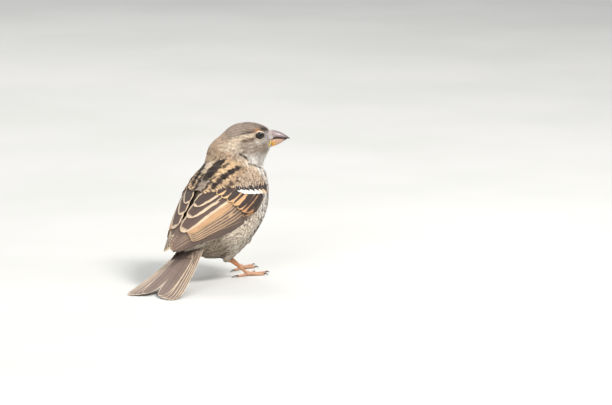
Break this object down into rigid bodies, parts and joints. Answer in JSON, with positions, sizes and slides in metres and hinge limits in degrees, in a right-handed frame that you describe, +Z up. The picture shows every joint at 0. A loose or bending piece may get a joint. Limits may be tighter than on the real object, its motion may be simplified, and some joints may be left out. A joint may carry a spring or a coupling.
{
  "type": "house sparrow",
  "caption": "Life-size brown female-type sparrow standing with raised trunk, head turned to its right, wings folded and tail laid back on the floor.",
  "frame": {"origin": "on the floor, under the middle of the box round the whole bird", "axes": "+X the way the trunk faces, +Y the bird's left, +Z up"},
  "size_m": [0.1146, 0.0514, 0.0905],
  "materials": {
    "head_plumage": "soft streaked feathers",
    "neck_plumage": "soft feathers",
    "trunk_plumage": "streaked back, pale loose underparts",
    "rump_plumage": "loose feathers",
    "leg_plumage": "short loose feathers",
    "wing_coverts": "overlapping feathers with pale edges",
    "wing_tertials": "broad feathers with buff edges",
    "wing_primaries": "stiff feathers, thin pale edges",
    "tail_feathers": "stiff feathers, thin pale edges",
    "leg_scales": "scaled skin",
    "claws": "polished horn",
    "eyes": "wet, clear front",
    "bill_top": "satin horn",
    "bill_bottom": "satin horn, yellow at the gape"
  },
  "bodies": {
    "root": {"bill_lower": "bill_bottom", "bill_upper": "bill_top", "claw_hind_left": "claws", "claw_hind_right": "claws", "claw_inner_left": "claws", "claw_inner_right": "claws", "claw_middle_left": "claws", "claw_middle_right": "claws", "claw_outer_left": "claws", "claw_outer_right": "claws", "eye_left": "eyes", "eye_right": "eyes", "head": "head_plumage", "neck": "neck_plumage", "rump": "rump_plumage", "tail_left": "tail_feathers", "tail_right": "tail_feathers", "tarsus_left": "leg_scales", "tarsus_right": "leg_scales", "thigh_left": "leg_plumage", "thigh_right": "leg_plumage", "toe_hind_left": "leg_scales", "toe_hind_right": "leg_scales", "toe_inner_left": "leg_scales", "toe_inner_right": "leg_scales", "toe_middle_left": "leg_scales", "toe_middle_right": "leg_scales", "toe_outer_left": "leg_scales", "toe_outer_right": "leg_scales", "trunk": "trunk_plumage", "wing_left_coverts": "wing_coverts", "wing_left_primaries": "wing_primaries", "wing_left_tertials": "wing_tertials", "wing_right_coverts": "wing_coverts", "wing_right_primaries": "wing_primaries", "wing_right_tertials": "wing_tertials"}
  },
  "joints": []
}
